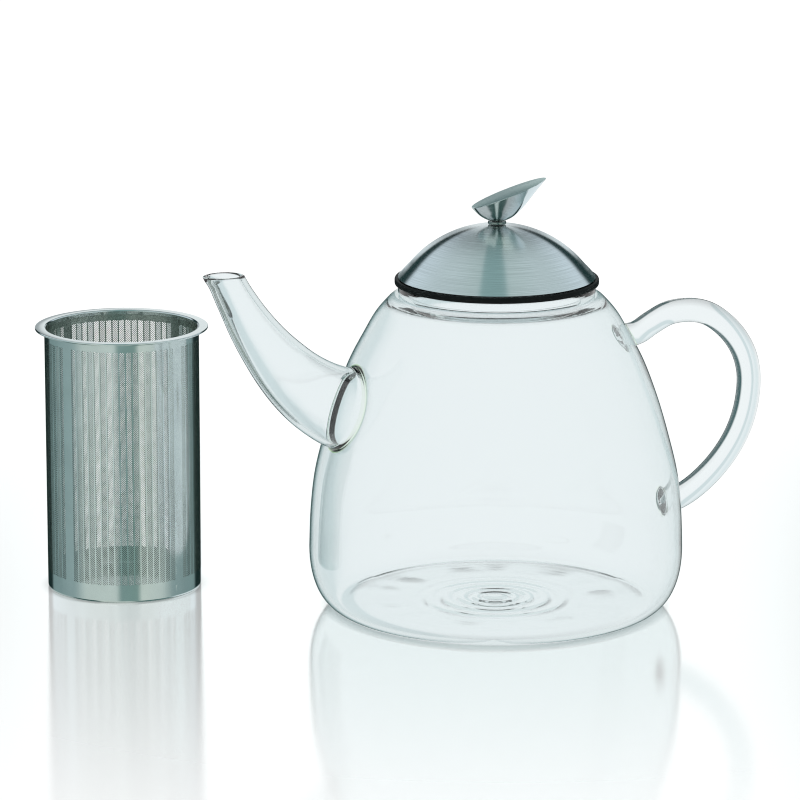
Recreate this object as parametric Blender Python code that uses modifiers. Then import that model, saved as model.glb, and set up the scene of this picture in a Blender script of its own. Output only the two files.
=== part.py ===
"""Glass teapot with a steel lid and a lift-out steel strainer that stands beside it.

Metres, +Z up. The pot's axis is the Z axis and its foot is on z = 0. The spout points along -X and the
handle along +X. Every fused or seated joint keeps GAP of clearance between the two solids. The glass body,
its drawn-in neck, the spout and the handle are fused into one in the finished pot.
"""
import math

import bmesh
import bpy

GAP = 0.0003

# Glass body: a blown shell, widest low down, drawn in to a thick round bead at the mouth.
WALL = 0.0022
FOOT_R = 0.0607
BELLY_R = 0.0753
BELLY_Z = 0.0249
BELLY_POWER = 2.21
BELLY_POINTS = 7
SHOULDER = (
    (0.0747, 0.0400),
    (0.0730, 0.0550),
    (0.0694, 0.0700),
    (0.0650, 0.0850),
    (0.0594, 0.1000),
    (0.0532, 0.1120),
    (0.0486, 0.1200),
    (0.0435, 0.1260),
)
NECK = (
    (0.0389, 0.1280),
    (0.0394, 0.1291),
    (0.0394, 0.1308),
    (0.0388, 0.1322),
    (0.0374, 0.1332),
)
MOUTH_R = 0.0332
MOUTH_LIP = 0.0010
NECK_UNDER = ((0.0405, 0.1250), (0.0362, 0.1258))
MOUTH_BASE_Z = 0.1276
NECK_JOINT_Z = 0.1040
RIPPLES = ((0.0, 0.0010), (0.006, 0.0003), (0.011, 0.0009), (0.0165, 0.0002), (0.022, 0.0006))
RIPPLE_END_R = 0.028

# Spout: a tapering tube that leaves the wall low and bends upwards; (distance out, height, radius).
SPOUT = (
    (0.0560, 0.0835, 0.0192),
    (0.0640, 0.0858, 0.0177),
    (0.0695, 0.0881, 0.0163),
    (0.0767, 0.0925, 0.0148),
    (0.0839, 0.0984, 0.0134),
    (0.0906, 0.1055, 0.0120),
    (0.0969, 0.1134, 0.0105),
    (0.1027, 0.1220, 0.0092),
    (0.1079, 0.1312, 0.0080),
    (0.1125, 0.1408, 0.0073),
    (0.1145, 0.1460, 0.0073),
)
SPOUT_WALL = 0.0020
SPOUT_TIP_Z = 0.1430
SPOUT_LIP = 0.0010
SPOUT_LIP_Z = 0.1385
SPOUT_HOLE_R = 0.0150
SPOUT_HOLE_FROM = (-0.0470, 0.0785)
SPOUT_HOLE_TO = (-0.0720, 0.0895)

# Handle: a bent solid glass rod, swollen where it is fused to the wall; (distance out, height, radius).
HANDLE = (
    (0.0500, 0.1068, 0.0072),
    (0.0555, 0.1070, 0.0066),
    (0.0612, 0.1083, 0.0053),
    (0.0670, 0.1117, 0.0049),
    (0.0745, 0.1151, 0.0049),
    (0.0835, 0.1156, 0.0049),
    (0.0912, 0.1136, 0.0049),
    (0.0980, 0.1090, 0.0049),
    (0.1037, 0.1028, 0.0049),
    (0.1077, 0.0955, 0.0049),
    (0.1096, 0.0874, 0.0049),
    (0.1094, 0.0788, 0.0049),
    (0.1076, 0.0699, 0.0049),
    (0.1040, 0.0612, 0.0049),
    (0.0985, 0.0530, 0.0049),
    (0.0918, 0.0460, 0.0050),
    (0.0845, 0.0405, 0.0053),
    (0.0775, 0.0372, 0.0064),
    (0.0700, 0.0362, 0.0070),
)

# Lid: a silicone ring on the mouth bead, a sheet steel dome on the ring, and a solid steel knob.
RING_OUTER_R = 0.0408
RING_INNER_R = 0.0360
RING_TOP_Z = 0.1346
RING_SEAT_Z = 0.1335
RING_LIP_Z = 0.1323
RING_LIP_R = 0.0395
RING_SEAT_R = 0.0382
RING_EDGE = 0.0003
DOME_R = 0.0457
DOME_CENTRE_Z = 0.1106
DOME_EDGE_Z = 0.1349
DOME_SHEET = 0.0007
DOME_FLARE = 0.0009
DOME_FLARE_Z = 0.1400
DOME_POINTS = 8
SCREW_HOLE_R = 0.0023
COLLAR_R = 0.00365
COLLAR_Z = (0.1565, 0.1576)
KNOB = (
    (0.0032, 0.1579),
    (0.0055, 0.1589),
    (0.0076, 0.1604),
    (0.0100, 0.1629),
    (0.0125, 0.1660),
    (0.0150, 0.1694),
    (0.0176, 0.1727),
    (0.0206, 0.1764),
)
KNOB_FACE_SLOPE = math.radians(21.8)
KNOB_FACE_MID_Z = 0.1673
KNOB_TURN = math.radians(-27.0)
KNOB_BORE_TOP_Z = 0.1645
SCREW_R = 0.0020
SCREW_TIP_Z = 0.1640
SCREW_HEAD_R = 0.0042
SCREW_HEAD_Z = (0.1528, 0.1551)

# Strainer: a rolled sleeve of perforated sheet between a flanged rim and a shallow cup.
STRAINER_X = -0.1334
STRAINER_Y = 0.0787
SLEEVE_R = 0.0314
SLEEVE_SHEET = 0.0006
RIM_R = 0.03515
RIM_TOP_Z = 0.1082
RIM_SHEET = 0.0008
RIM_SKIRT_Z = 0.1042
CUP_TOP_Z = 0.0072
CUP_CORNER = 0.0030
CUP_CORNER_POINTS = 3

# Finishes.
GLASS = (0.86, 0.93, 0.92, 1.0)
GLASS_ROUGHNESS = 0.02
GLASS_IOR = 1.47
STEEL = (0.72, 0.76, 0.77, 1.0)
STEEL_ROUGHNESS = 0.28
POLISHED = (0.80, 0.83, 0.84, 1.0)
POLISHED_ROUGHNESS = 0.12
SILICONE = (0.015, 0.015, 0.017, 1.0)
SILICONE_ROUGHNESS = 0.45

# Fineness: segments of a full turn, points between curve stations, and quarter-circle steps of a bar.
TURN_SEGMENTS = 48
KNOB_SEGMENTS = 40
COLLAR_SEGMENTS = 32
SCREW_SEGMENTS = 24
CURVE_STEPS = 2
TUBE_RESOLUTION = 8
ROD_RESOLUTION = 5
BORE_RESOLUTION = 4
SHARP_ANGLE = math.radians(35)
WELD = 0.00001

# How far a cutter runs past what it cuts.
PAST = 0.010


def clear_scene():
    for old in list(bpy.data.objects):
        bpy.data.objects.remove(old)


def make_collections():
    parts = bpy.data.collections.new("glass_teapot")
    cutters = bpy.data.collections.new("cutters")
    cutters.hide_render = True
    bpy.context.scene.collection.children.link(parts)
    bpy.context.scene.collection.children.link(cutters)
    return parts, cutters


def material(name, colour, roughness, metallic):
    made = bpy.data.materials.new(name)
    made.use_nodes = True
    shader = made.node_tree.nodes["Principled BSDF"]
    shader.inputs["Base Color"].default_value = colour
    shader.inputs["Roughness"].default_value = roughness
    shader.inputs["Metallic"].default_value = metallic
    made.diffuse_color = colour
    return made


def glass(name):
    made = material(name, GLASS, GLASS_ROUGHNESS, 0.0)
    shader = made.node_tree.nodes["Principled BSDF"]
    shader.inputs["Transmission Weight"].default_value = 1.0
    shader.inputs["IOR"].default_value = GLASS_IOR
    return made


def smooth_curve(stations, steps):
    """Catmull-Rom curve through the stations, steps points to each span."""
    last = len(stations) - 1
    out = []
    for i in range(last):
        p0 = stations[max(i - 1, 0)]
        p1 = stations[i]
        p2 = stations[i + 1]
        p3 = stations[min(i + 2, last)]
        for k in range(steps):
            t = k / steps
            point = []
            for a, b, c, d in zip(p0, p1, p2, p3):
                value = 2 * b + (c - a) * t
                value += (2 * a - 5 * b + 4 * c - d) * t * t
                value += (3 * b - a - 3 * c + d) * t * t * t
                point.append(value / 2)
            out.append(tuple(point))
    out.append(tuple(stations[-1]))
    return out


def shade(body):
    """Round pieces shade smooth, with the real edges kept sharp."""
    body.data.shade_smooth()
    body.data.set_sharp_from_angle(angle=SHARP_ANGLE)


def lathe(name, profile, closed, segments, collection):
    """Turn a profile of (radius, height) round Z. It runs down its outer side from top to bottom."""
    mesh = bpy.data.meshes.new(name)
    verts = [(r, 0.0, z) for r, z in profile]
    edges = [(i, i + 1) for i in range(len(verts) - 1)]
    if closed:
        edges.append((len(verts) - 1, 0))
    mesh.from_pydata(verts, edges, [])
    body = bpy.data.objects.new(name, mesh)
    collection.objects.link(body)
    screw = body.modifiers.new("turn", "SCREW")
    screw.axis = "Z"
    screw.angle = math.tau
    screw.steps = segments
    screw.render_steps = segments
    screw.use_merge_vertices = True
    screw.merge_threshold = WELD
    screw.use_normal_calculate = False
    screw.use_smooth_shade = True
    return body


def bake(body, collection):
    """Replace an object by the mesh its modifiers or its curve make, welded into one closed surface."""
    bpy.context.view_layer.update()
    graph = bpy.context.evaluated_depsgraph_get()
    mesh = bpy.data.meshes.new_from_object(body.evaluated_get(graph))
    mesh.name = body.name
    name = body.name
    place = body.matrix_world.copy()
    bpy.data.objects.remove(body)
    work = bmesh.new()
    work.from_mesh(mesh)
    bmesh.ops.remove_doubles(work, verts=work.verts, dist=WELD)
    bmesh.ops.recalc_face_normals(work, faces=work.faces)
    work.to_mesh(mesh)
    work.free()
    solid = bpy.data.objects.new(name, mesh)
    solid.matrix_world = place
    collection.objects.link(solid)
    return solid


def cut(body, cutter, operation):
    """A boolean with a cutter that is kept, wired, in its own collection."""
    cutter.hide_render = True
    cutter.display_type = "WIRE"
    boolean = body.modifiers.new(cutter.name, "BOOLEAN")
    boolean.object = cutter
    boolean.operation = operation
    boolean.solver = "EXACT"


def box(name, low, high, collection):
    mesh = bpy.data.meshes.new(name)
    work = bmesh.new()
    bmesh.ops.create_cube(work, size=1.0)
    for vert in work.verts:
        for axis in range(3):
            middle = (low[axis] + high[axis]) / 2
            vert.co[axis] = middle + vert.co[axis] * (high[axis] - low[axis])
    work.to_mesh(mesh)
    work.free()
    body = bpy.data.objects.new(name, mesh)
    collection.objects.link(body)
    return body


def rod(name, stations, sides_resolution, filled, collection):
    """A round bar or an open tube swept along (x, z, radius) stations in the XZ plane."""
    curve = bpy.data.curves.new(name, "CURVE")
    curve.dimensions = "3D"
    curve.bevel_depth = 1.0
    curve.bevel_resolution = sides_resolution
    curve.use_fill_caps = filled
    spline = curve.splines.new("POLY")
    spline.points.add(len(stations) - 1)
    for point, (x, z, radius) in zip(spline.points, stations):
        point.co = (x, 0.0, z, 1.0)
        point.radius = radius
    body = bpy.data.objects.new(name, curve)
    collection.objects.link(body)
    return bake(body, collection)


def outer_wall():
    """The pot's outer side from the mouth bead down to the edge of its foot, as (radius, height)."""
    sides = smooth_curve((NECK[0],) + SHOULDER[::-1] + ((BELLY_R, BELLY_Z),), CURVE_STEPS)
    points = list(NECK[::-1]) + sides[1:]
    for k in range(1, BELLY_POINTS + 1):
        angle = k / BELLY_POINTS * math.pi / 2
        z = BELLY_Z * (1 - math.sin(angle))
        inset = (1 - z / BELLY_Z) ** BELLY_POWER
        r = FOOT_R + (BELLY_R - FOOT_R) * max(1 - inset, 0.0) ** (1 / BELLY_POWER)
        points.append((r, z))
    return points


def offset_inwards(points, distance):
    """Each point moved square to the line through its neighbours, into the wall."""
    out = []
    for i, (r, z) in enumerate(points):
        before = points[max(i - 1, 0)]
        after = points[min(i + 1, len(points) - 1)]
        along_r = after[0] - before[0]
        along_z = after[1] - before[1]
        length = math.hypot(along_r, along_z)
        out.append((r + along_z / length * distance, z - along_r / length * distance))
    return out


def inner_wall():
    """The inside from the middle of the floor, over the cast ripples, up to the bore of the mouth."""
    middle = [(r, WALL + rise) for r, rise in RIPPLES]
    middle.append((RIPPLE_END_R, WALL))
    side = [p for p in outer_wall() if p[1] < SHOULDER[-2][1] + GAP]
    inside = offset_inwards(side, WALL)[::-1]
    inside = [p for p in inside if p[1] > WALL + GAP]
    top = [NECK_UNDER[0], NECK_UNDER[1], (MOUTH_R, MOUTH_BASE_Z)]
    rim_z = NECK[-1][1]
    top += [(MOUTH_R, rim_z - MOUTH_LIP), (MOUTH_R + MOUTH_LIP, rim_z)]
    return middle + [(FOOT_R - WALL, WALL)] + inside + top


def point_at(points, z):
    """The point of a profile at one height."""
    for (r0, z0), (r1, z1) in zip(points, points[1:]):
        if min(z0, z1) <= z <= max(z0, z1) and z0 != z1:
            return r0 + (r1 - r0) * (z - z0) / (z1 - z0), z
    return points[-1][0], z


def wall_cutter(name, collection):
    """The solid pot, grown by the clearance, that trims whatever is fused to the outside."""
    outline = [(r + GAP, z) for r, z in outer_wall()]
    top = [(0.0, outline[0][1])]
    foot = [(0.0, outline[-1][1])]
    body = lathe(name, top + outline + foot, False, TURN_SEGMENTS, collection)
    return body


def glass_body(parts, cutters):
    """Floor and side wall, up to where the neck is drawn in."""
    inside = inner_wall()
    outside = outer_wall()
    joint = [point_at(inside, NECK_JOINT_Z), point_at(outside, NECK_JOINT_Z)]
    inside = [p for p in inside if p[1] < NECK_JOINT_Z]
    outside = [p for p in outside if p[1] < NECK_JOINT_Z]
    profile = inside + joint + outside + [(0.0, 0.0)]
    body = lathe("glass_body", profile, False, TURN_SEGMENTS, parts)
    x0, z0 = SPOUT_HOLE_FROM
    x1, z1 = SPOUT_HOLE_TO
    line = ((x0, z0, SPOUT_HOLE_R), (x1, z1, SPOUT_HOLE_R))
    hole = rod("spout_hole", line, TUBE_RESOLUTION, True, cutters)
    cut(body, hole, "DIFFERENCE")
    body.data.materials.append(glass("body_glass"))
    return body


def glass_neck(parts):
    """The drawn-in neck with the round bead and the bore of the mouth."""
    inside = inner_wall()
    outside = outer_wall()
    low = NECK_JOINT_Z + GAP
    start = [point_at(inside, low)]
    end = [point_at(outside, low)]
    inside = [p for p in inside if p[1] > low]
    outside = [p for p in outside if p[1] > low]
    body = lathe("glass_neck", start + inside + outside + end, True, TURN_SEGMENTS, parts)
    body.data.materials.append(glass("neck_glass"))
    return body


def spout(parts, cutters):
    line = [(-out, z, radius) for out, z, radius in smooth_curve(SPOUT, CURVE_STEPS)]
    body = rod("spout", line, TUBE_RESOLUTION, False, parts)
    reach = SPOUT[-1][1] - SPOUT_LIP_Z
    for vert in body.data.vertices:
        lift = max(vert.co.z - SPOUT_LIP_Z, 0.0) / reach
        front = max(-vert.co.x - SPOUT[-2][0], 0.0) / SPOUT[-2][2]
        vert.co.x -= SPOUT_LIP * lift * front
    shell = body.modifiers.new("glass_wall", "SOLIDIFY")
    shell.thickness = SPOUT_WALL
    shell.offset = -1.0
    low = (-SPOUT[-1][0] - PAST, -PAST, SPOUT_TIP_Z)
    high = (-SPOUT[-1][0] + PAST, PAST, SPOUT_TIP_Z + PAST)
    cut(body, box("spout_tip_cut", low, high, cutters), "DIFFERENCE")
    cut(body, wall_cutter("spout_root_cut", cutters), "DIFFERENCE")
    body.data.materials.append(glass("spout_glass"))
    shade(body)
    return body


def handle(parts, cutters):
    body = rod("handle", smooth_curve(HANDLE, CURVE_STEPS), ROD_RESOLUTION, True, parts)
    cut(body, wall_cutter("handle_root_cut", cutters), "DIFFERENCE")
    body.data.materials.append(glass("handle_glass"))
    shade(body)
    return body


def seal_ring(parts):
    profile = [
        (RING_INNER_R, RING_TOP_Z),
        (RING_OUTER_R - RING_EDGE, RING_TOP_Z),
        (RING_OUTER_R, RING_TOP_Z - RING_EDGE),
        (RING_OUTER_R, RING_LIP_Z + RING_EDGE),
        (RING_OUTER_R - RING_EDGE, RING_LIP_Z),
        (RING_LIP_R, RING_LIP_Z),
        (RING_SEAT_R, RING_SEAT_Z),
        (RING_INNER_R, RING_SEAT_Z),
    ]
    body = lathe("seal_ring", profile, True, TURN_SEGMENTS, parts)
    body.data.materials.append(material("black_silicone", SILICONE, SILICONE_ROUGHNESS, 0.0))
    return body


def dome_radius(z, shell):
    flare = DOME_FLARE * max(DOME_FLARE_Z - z, 0.0) / (DOME_FLARE_Z - DOME_EDGE_Z)
    return math.sqrt(max(shell * shell - (z - DOME_CENTRE_Z) ** 2, 0.0)) + flare


def dome_side(shell):
    """Points on one face of the sheet, from the edge of the screw hole down to the lower edge."""
    rise = DOME_EDGE_Z - DOME_CENTRE_Z
    start = math.asin(SCREW_HOLE_R / shell)
    end = math.acos(rise / shell)
    points = []
    for k in range(DOME_POINTS + 1):
        angle = start + (end - start) * k / DOME_POINTS
        z = DOME_CENTRE_Z + shell * math.cos(angle)
        points.append((dome_radius(z, shell), z))
    return points


def lid_dome(parts):
    outside = dome_side(DOME_R)
    inside = dome_side(DOME_R - DOME_SHEET)
    body = lathe("lid_dome", outside + inside[::-1], True, TURN_SEGMENTS, parts)
    body.data.materials.append(material("brushed_dome", STEEL, STEEL_ROUGHNESS, 1.0))
    return body


def knob(parts, cutters):
    top = (0.0, KNOB[-1][1])
    base = (0.0, KNOB[0][1])
    profile = [top] + list(KNOB[::-1]) + [base]
    body = lathe("knob", profile, False, KNOB_SEGMENTS, parts)
    size = KNOB[-1][0] * 2
    face = box("knob_face_cut", (-size, -size, 0.0), (size, size, size), cutters)
    face.location = (0.0, 0.0, KNOB_FACE_MID_Z)
    face.rotation_euler = (0.0, -KNOB_FACE_SLOPE, KNOB_TURN)
    cut(body, face, "DIFFERENCE")
    low = KNOB[0][1] - PAST
    line = ((0.0, low, SCREW_HOLE_R), (0.0, KNOB_BORE_TOP_Z, SCREW_HOLE_R))
    bore = rod("knob_bore", line, BORE_RESOLUTION, True, cutters)
    cut(body, bore, "DIFFERENCE")
    body.data.materials.append(material("knob_steel", POLISHED, POLISHED_ROUGHNESS, 1.0))
    return body


def knob_collar(parts):
    low, high = COLLAR_Z
    profile = [(SCREW_HOLE_R, high), (COLLAR_R, high), (COLLAR_R, low), (SCREW_HOLE_R, low)]
    body = lathe("knob_collar", profile, True, COLLAR_SEGMENTS, parts)
    body.data.materials.append(material("collar_steel", POLISHED, POLISHED_ROUGHNESS, 1.0))
    return body


def lid_screw(parts):
    low, high = SCREW_HEAD_Z
    edge = (high - low) / 3
    profile = [
        (0.0, SCREW_TIP_Z),
        (SCREW_R, SCREW_TIP_Z),
        (SCREW_R, high),
        (SCREW_HEAD_R, high),
        (SCREW_HEAD_R, low + edge),
        (SCREW_HEAD_R - edge, low),
        (0.0, low),
    ]
    body = lathe("lid_screw", profile, False, SCREW_SEGMENTS, parts)
    body.data.materials.append(material("screw_steel", STEEL, STEEL_ROUGHNESS, 1.0))
    return body


def strainer_rim(parts):
    inner = SLEEVE_R - SLEEVE_SHEET
    under = RIM_TOP_Z - RIM_SHEET
    profile = [
        (inner, RIM_TOP_Z),
        (RIM_R, RIM_TOP_Z),
        (RIM_R, under),
        (SLEEVE_R, under),
        (SLEEVE_R, RIM_SKIRT_Z),
        (inner, RIM_SKIRT_Z),
    ]
    body = lathe("strainer_rim", profile, True, TURN_SEGMENTS, parts)
    body.data.materials.append(material("rim_steel", POLISHED, POLISHED_ROUGHNESS, 1.0))
    return body


def strainer_sleeve(parts):
    inner = SLEEVE_R - SLEEVE_SHEET
    high = RIM_SKIRT_Z - GAP
    low = CUP_TOP_Z + GAP
    profile = [(inner, high), (SLEEVE_R, high), (SLEEVE_R, low), (inner, low)]
    body = lathe("strainer_sleeve", profile, True, TURN_SEGMENTS, parts)
    body.data.materials.append(material("sleeve_steel", STEEL, STEEL_ROUGHNESS, 1.0))
    return body


def strainer_cup(parts):
    inner = SLEEVE_R - SLEEVE_SHEET
    outside = [(SLEEVE_R, CUP_TOP_Z)]
    inside = [(inner, CUP_TOP_Z)]
    for k in range(CUP_CORNER_POINTS + 1):
        angle = k / CUP_CORNER_POINTS * math.pi / 2
        r = SLEEVE_R - CUP_CORNER + CUP_CORNER * math.cos(angle)
        z = CUP_CORNER - CUP_CORNER * math.sin(angle)
        outside.append((r, z))
        r = SLEEVE_R - CUP_CORNER + (CUP_CORNER - SLEEVE_SHEET) * math.cos(angle)
        z = CUP_CORNER - (CUP_CORNER - SLEEVE_SHEET) * math.sin(angle)
        inside.append((r, z))
    profile = [(0.0, SLEEVE_SHEET)] + inside[::-1] + outside + [(0.0, 0.0)]
    body = lathe("strainer_cup", profile, False, TURN_SEGMENTS, parts)
    body.data.materials.append(material("cup_steel", POLISHED, POLISHED_ROUGHNESS, 1.0))
    return body


def main():
    clear_scene()
    parts, cutters = make_collections()
    glass_body(parts, cutters)
    glass_neck(parts)
    spout(parts, cutters)
    handle(parts, cutters)
    seal_ring(parts)
    lid_dome(parts)
    knob(parts, cutters)
    knob_collar(parts)
    lid_screw(parts)
    for piece in (strainer_rim(parts), strainer_sleeve(parts), strainer_cup(parts)):
        piece.location = (STRAINER_X, STRAINER_Y, 0.0)


main()
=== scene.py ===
"""Looks of the glass teapot and its strainer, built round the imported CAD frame."""

import math

import bmesh
import bpy
import numpy as np
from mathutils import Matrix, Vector


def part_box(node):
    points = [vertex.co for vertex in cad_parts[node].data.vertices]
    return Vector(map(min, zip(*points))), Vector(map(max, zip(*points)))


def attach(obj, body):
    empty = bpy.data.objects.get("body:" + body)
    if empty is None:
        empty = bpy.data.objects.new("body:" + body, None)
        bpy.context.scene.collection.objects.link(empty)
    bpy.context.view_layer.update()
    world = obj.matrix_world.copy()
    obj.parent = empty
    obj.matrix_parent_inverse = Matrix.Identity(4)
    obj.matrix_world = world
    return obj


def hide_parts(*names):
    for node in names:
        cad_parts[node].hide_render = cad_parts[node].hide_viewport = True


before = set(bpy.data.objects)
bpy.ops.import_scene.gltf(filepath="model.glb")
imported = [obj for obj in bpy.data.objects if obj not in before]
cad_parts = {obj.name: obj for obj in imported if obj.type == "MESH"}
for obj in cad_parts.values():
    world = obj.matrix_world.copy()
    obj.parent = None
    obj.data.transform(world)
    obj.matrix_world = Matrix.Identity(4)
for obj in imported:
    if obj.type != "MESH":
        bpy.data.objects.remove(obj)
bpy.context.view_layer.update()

# Places taken from the CAD frame.
RIM_LOW, RIM_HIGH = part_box("strainer_rim")
CUP_LOW, CUP_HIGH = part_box("strainer_cup")
STRAINER = Vector(((CUP_LOW.x + CUP_HIGH.x) / 2, (CUP_LOW.y + CUP_HIGH.y) / 2, 0.0))

# Glass, in metres: the CAD's outline with a finer floor, slimmer roots and a slightly lower tip.
WALL = 0.0022
FOOT_R = 0.0607
BELLY_R = 0.0753
BELLY_Z = 0.0249
BELLY_POWER = 2.21
SHOULDER = (
    (0.0389, 0.1280),
    (0.0411, 0.12765),
    (0.0435, 0.1260),
    (0.0486, 0.1200),
    (0.0532, 0.1120),
    (0.0594, 0.1000),
    (0.0650, 0.0850),
    (0.0694, 0.0700),
    (0.0730, 0.0550),
    (0.0747, 0.0400),
    (0.0753, 0.0249),
)
BEAD = (
    (0.0342, 0.1332),
    (0.0358, 0.13325),
    (0.0374, 0.1331),
    (0.0388, 0.1322),
    (0.0394, 0.1308),
    (0.0394, 0.1291),
    (0.0389, 0.1280),
)
MOUTH = (
    (0.0420, 0.1240),
    (0.0385, 0.1256),
    (0.0350, 0.1264),
    (0.0332, 0.1280),
    (0.0332, 0.1318),
    (0.0342, 0.1332),
)
RIPPLES = (
    (0.0, 0.0009),
    (0.0030, 0.0008),
    (0.0055, 0.0003),
    (0.0080, 0.0006),
    (0.0105, 0.0002),
    (0.0135, 0.0006),
    (0.0165, 0.0002),
    (0.0200, 0.0005),
    (0.0235, 0.0001),
    (0.0270, 0.0003),
    (0.0305, 0.0),
    (0.0340, 0.0001),
    (0.0380, 0.0),
    (0.0440, 0.0),
    (0.0500, 0.0001),
)
# Waves round the ring where the glass floor is uneven, as (count, phase, share).
FLOOR_UNEVEN = ((7, 1.0, 0.5), (13, 2.2, 0.3), (19, 0.7, 0.2))
FLOOR_UNEVEN_RISE = 0.0002
FLOOR_UNEVEN_R = 0.0440
FLOOR_UNEVEN_WIDTH = 0.006
FLOOR_END_R = 0.0565
UNDERSIDE = (0.052, 0.040, 0.028, 0.016, 0.006, 0.0)
NECK_FROM_Z = 0.1245
COLUMNS = 192
SPOUT = (
    (0.0560, 0.0835, 0.0180),
    (0.0640, 0.0858, 0.0171),
    (0.0695, 0.0881, 0.0161),
    (0.0767, 0.0925, 0.0148),
    (0.0839, 0.0984, 0.0134),
    (0.0906, 0.1055, 0.0120),
    (0.0969, 0.1134, 0.0105),
    (0.1027, 0.1220, 0.0092),
    (0.1079, 0.1312, 0.0080),
    (0.1125, 0.1408, 0.0073),
    (0.1145, 0.1460, 0.0073),
)
SPOUT_WALL = 0.0020
SPOUT_TIP_Z = 0.1424
SPOUT_LIP = 0.0010
SPOUT_FILLET = 0.0015
SPOUT_INNER_FILLET = 0.0008
HANDLE = (
    (0.0500, 0.1068),
    (0.0555, 0.1070),
    (0.0612, 0.1083),
    (0.0670, 0.1117),
    (0.0745, 0.1151),
    (0.0835, 0.1156),
    (0.0912, 0.1136),
    (0.0980, 0.1090),
    (0.1037, 0.1028),
    (0.1077, 0.0955),
    (0.1096, 0.0874),
    (0.1094, 0.0788),
    (0.1076, 0.0699),
    (0.1040, 0.0612),
    (0.0985, 0.0530),
    (0.0918, 0.0460),
    (0.0845, 0.0405),
    (0.0775, 0.0372),
    (0.0700, 0.0362),
)
HANDLE_R = 0.0049
HANDLE_FILLET = 0.0016
HANDLE_REACH = 0.0098

# Steel parts.
DOME_R = 0.0457
DOME_CENTRE_Z = 0.1106
DOME_EDGE_Z = 0.1349
DOME_SHEET = 0.0007
DOME_FLARE = 0.0009
DOME_FLARE_Z = 0.1400
RING_INNER_R = 0.0360
RING_LIP_R = 0.0395
RING_SEAT = (0.0382, 0.1335)
SCREW_HOLE_R = 0.0023
KNOB = (
    (0.0032, 0.1579),
    (0.0055, 0.1589),
    (0.0076, 0.1604),
    (0.0100, 0.1629),
    (0.0125, 0.1660),
    (0.0150, 0.1694),
    (0.0176, 0.1727),
    (0.0206, 0.1764),
)
KNOB_FACE_SLOPE = math.radians(21.8)
KNOB_FACE_MID_Z = 0.1673
KNOB_FACE_EDGE = 0.00022
KNOB_TURN = math.radians(-27.0)
SLEEVE_R = 0.0314
SLEEVE_SHEET = 0.0006
SLOTTED_SHEET = 0.0003
SLOT_PITCH = 0.00079
SLOT_WIDTH = 0.00039
SLOT_SLOPE = math.radians(41.6)
SLOT_COLUMNS = 17
PLAIN_STRIP = math.radians(7.5)
CUP_CORNER = 0.0009

# The camera and the floor.
VIEW_AZIMUTH = math.radians(-19.0)
VIEW_DOWN = math.radians(13.113)
LENS = 218.8
FLOOR_HALF = 9.0
FLOOR_DROP = -0.0001
FORWARD = Vector((-math.sin(VIEW_AZIMUTH), math.cos(VIEW_AZIMUTH), 0.0))
RIGHT = Vector((math.cos(VIEW_AZIMUTH), math.sin(VIEW_AZIMUTH), 0.0))
EYE = RIGHT * -0.0386 - FORWARD * 1.9 + Vector((0.0, 0.0, 0.527))
Y = np.array((0.0, 1.0, 0.0))


# ---------------------------------------------------------------- nodes
def add(tree, kind, inputs=None, **settings):
    made = tree.nodes.new(kind)
    for key, value in settings.items():
        setattr(made, key, value)
    for key, value in (inputs or {}).items():
        if isinstance(value, bpy.types.NodeSocket):
            tree.links.new(value, made.inputs[key])
        else:
            made.inputs[key].default_value = value
    return made


def maths(tree, operation, a, b=0.0, clamp=False):
    return add(tree, "ShaderNodeMath", {0: a, 1: b}, operation=operation, use_clamp=clamp).outputs[0]


def ramp(tree, value, stops, interpolation="LINEAR"):
    made = add(tree, "ShaderNodeValToRGB", {"Fac": value})
    made.color_ramp.interpolation = interpolation
    elements = made.color_ramp.elements
    while len(elements) < len(stops):
        elements.new(1.0)
    for element, (position, colour) in zip(elements, stops):
        element.position = position
        if isinstance(colour, (int, float)):
            colour = (colour, colour, colour)
        element.color = (*colour, 1.0)
    return made.outputs["Color"]


def blank(name):
    made = bpy.data.materials.new(name)
    made.use_nodes = True
    tree = made.node_tree
    return made, tree, tree.nodes["Principled BSDF"]


def noise(tree, scale, stretch=(1.0, 1.0, 1.0), detail=3.0):
    coordinates = add(tree, "ShaderNodeTexCoord").outputs["Object"]
    mapped = add(tree, "ShaderNodeMapping", {"Vector": coordinates, "Scale": stretch}).outputs[0]
    made = add(tree, "ShaderNodeTexNoise", {"Vector": mapped, "Scale": scale, "Detail": detail})
    return made.outputs["Fac"]


def ranged(tree, value, low, high):
    return add(tree, "ShaderNodeMapRange", {"Value": value, "To Min": low, "To Max": high}).outputs[0]


def bump(tree, height, strength, distance):
    return add(
        tree, "ShaderNodeBump", {"Height": height, "Strength": strength, "Distance": distance}
    ).outputs[0]


def glass_material(name, stops):
    """Borosilicate glass: nearly clear face on, dark green where its surface is seen edge on."""
    made, tree, shader = blank(name)
    facing = add(tree, "ShaderNodeLayerWeight", {"Blend": 0.5}).outputs["Facing"]
    tree.links.new(ramp(tree, facing, stops), shader.inputs["Base Color"])
    wave = noise(tree, 22.0, detail=1.0)
    tree.links.new(ranged(tree, noise(tree, 60.0), 0.0006, 0.0028), shader.inputs["Roughness"])
    tree.links.new(bump(tree, wave, 0.25, 0.0012), shader.inputs["Normal"])
    shader.inputs["Transmission Weight"].default_value = 1.0
    shader.inputs["IOR"].default_value = 1.47
    return made


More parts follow.
